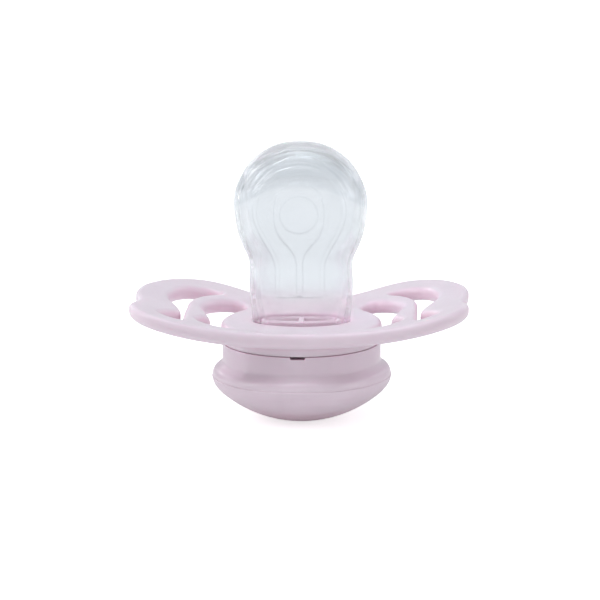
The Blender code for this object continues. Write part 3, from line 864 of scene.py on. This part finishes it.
PINK_D, PINK_L = (0.663, 0.566, 0.628), (0.697, 0.600, 0.663)
place(make_shield(), "shield",
      plastic("shield_plastic_look", PINK_D, PINK_L, 0.32))
place(make_plug(), "vent_plug",
      plastic("plug_plastic_look", (0.675, 0.555, 0.61), (0.705, 0.585, 0.64), 0.42, 0.2,
              recess_shade_colour=(0.685, 0.57, 0.625)))
place(make_collar(), "knob_collar",
      plastic("collar_plastic_look", (0.632, 0.527, 0.595), (0.667, 0.560, 0.628), 0.32, 0.1, 0.0007,
              recess_shade_colour=(0.66, 0.50, 0.58), seam=(HUB_Z + PART_Z) * MM))
place(make_cap(), "knob_cap",
      plastic("cap_plastic_look", (0.632, 0.527, 0.595), (0.667, 0.560, 0.628), 0.32, 0.3, 0.0007,
              recess_shade_colour=(0.66, 0.50, 0.58), seam=(HUB_Z + PART_Z) * MM))
place(make_nipple(), "nipple", silicone("clear_silicone_look"))


# --------------------------------------------------------------------- stage
def floor_material():
    """Matt white paper, glowing a little so that it stays white far out."""
    n = Nodes("floor_white")
    n.bsdf.inputs['Base Color'].default_value = (0.80, 0.80, 0.80, 1)
    n.bsdf.inputs['Roughness'].default_value = 0.9
    n.bsdf.inputs['Specular IOR Level'].default_value = 0.0
    n.bsdf.inputs['Emission Color'].default_value = (1, 1, 1, 1)
    n.bsdf.inputs['Emission Strength'].default_value = FLOOR_GLOW
    path = n.new('ShaderNodeLightPath')
    paper = n.new('ShaderNodeEmission')
    paper.inputs['Strength'].default_value = FLOOR_SEEN
    both = n.new('ShaderNodeAddShader')
    n.link(n.bsdf.outputs['BSDF'], both.inputs[0])
    n.link(paper.outputs['Emission'], both.inputs[1])
    mix = n.new('ShaderNodeMixShader')
    n.link(path.outputs['Is Camera Ray'], mix.inputs['Fac'])
    n.link(n.bsdf.outputs['BSDF'], mix.inputs[1])
    n.link(both.outputs['Shader'], mix.inputs[2])
    n.link(mix.outputs['Shader'], n.out.inputs['Surface'])
    return n.mat


FLOOR_GLOW, FLOOR_SEEN = 0.12, 0.50
bm = bmesh.new()
bmesh.ops.create_circle(bm, cap_ends=True, cap_tris=False, segments=96, radius=4.0)
floor = to_object("floor", bm)
floor.data.materials.append(floor_material())


def area_light(name, loc, target, size, radiance, colour=(1, 1, 1)):
    data = bpy.data.lights.new(name, 'AREA')
    data.shape = 'RECTANGLE'
    data.size, data.size_y = size
    data.energy = radiance * math.pi * size[0] * size[1]
    data.color = colour
    ob = bpy.data.objects.new(name, data)
    bpy.context.scene.collection.objects.link(ob)
    ob.location = loc
    direction = Vector(target) - Vector(loc)
    ob.rotation_euler = direction.to_track_quat('-Z', 'Y').to_euler()
    return ob


AIM = (0.0, 0.0, 0.022)
area_light("top_softbox", (-0.03, 0.02, 0.60), AIM, (0.62, 0.34), 1.60, (0.91, 1.01, 1.065))
area_light("top_strip", (-0.20, -0.04, 0.50), AIM, (0.024, 0.22), 27.0, (0.97, 1.0, 1.02))
area_light("back_softbox", (0.0, 0.62, 0.25), AIM, (1.0, 0.40), 0.29, (0.89, 1.0, 1.045))
area_light("left_softbox", (-0.50, -0.15, 0.34), AIM, (0.13, 0.40), 7.2, (1.0, 0.985, 0.985))
area_light("right_softbox", (0.54, -0.17, 0.20), AIM, (0.30, 0.30), 2.8, (1.0, 0.985, 0.985))
area_light("left_rim", (-0.42, 0.44, 0.30), AIM, (0.26, 0.22), 2.6, (1.0, 0.99, 0.99))
area_light("left_low", (-0.50, 0.12, 0.06), AIM, (0.22, 0.09), 2.2, (1.0, 0.99, 0.99))
area_light("right_rim", (0.44, 0.42, 0.30), AIM, (0.26, 0.22), 1.6, (1.0, 0.99, 0.99))
area_light("front_fill", (0.0, -0.75, 0.16), AIM, (0.80, 0.30), 0.60, (1.0, 0.97, 0.985))

world = bpy.data.worlds.new("studio") if not bpy.context.scene.world else bpy.context.scene.world
bpy.context.scene.world = world
world.use_nodes = True
bg = world.node_tree.nodes.get("Background") or world.node_tree.nodes.new('ShaderNodeBackground')
bg.inputs['Color'].default_value = (0.95, 0.975, 1.0, 1.0)
bg.inputs['Strength'].default_value = 0.46

# -------------------------------------------------------------------- camera
AZ, EL, ROLL, DIST = math.radians(3.0), math.radians(11.6), math.radians(0.4), 0.500
XT, ZT = -0.2, 3.3
back = Vector((math.sin(AZ) * math.cos(EL), -math.cos(AZ) * math.cos(EL), math.sin(EL)))
right = Vector((math.cos(AZ), math.sin(AZ), 0.0))
up = back.cross(right)
target = Vector((XT * math.cos(AZ) * MM, XT * math.sin(AZ) * MM, (HUB_Z + ZT) * MM))
r2 = right * math.cos(ROLL) - up * math.sin(ROLL)
u2 = up * math.cos(ROLL) + right * math.sin(ROLL)
cam_data = bpy.data.cameras.new("camera")
cam_data.sensor_width = 36.0
cam_data.lens = 181.8
cam_data.clip_start = 0.02
cam_data.clip_end = 20.0
cam = bpy.data.objects.new("camera", cam_data)
bpy.context.scene.collection.objects.link(cam)
rot = Matrix((r2, u2, back)).transposed()
cam.matrix_world = Matrix.Translation(target + back * DIST) @ rot.to_4x4()
bpy.context.scene.camera = cam
bpy.context.scene.view_settings.view_transform = 'Standard'
bpy.context.scene.view_settings.look = 'None'

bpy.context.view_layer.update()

# light that turns round inside the clear wall many times still gets out
paths = getattr(bpy.context.scene, "cycles", None)
if paths is not None:
    paths.max_bounces = 28
    paths.glossy_bounces = 16
    paths.transmission_bounces = 24
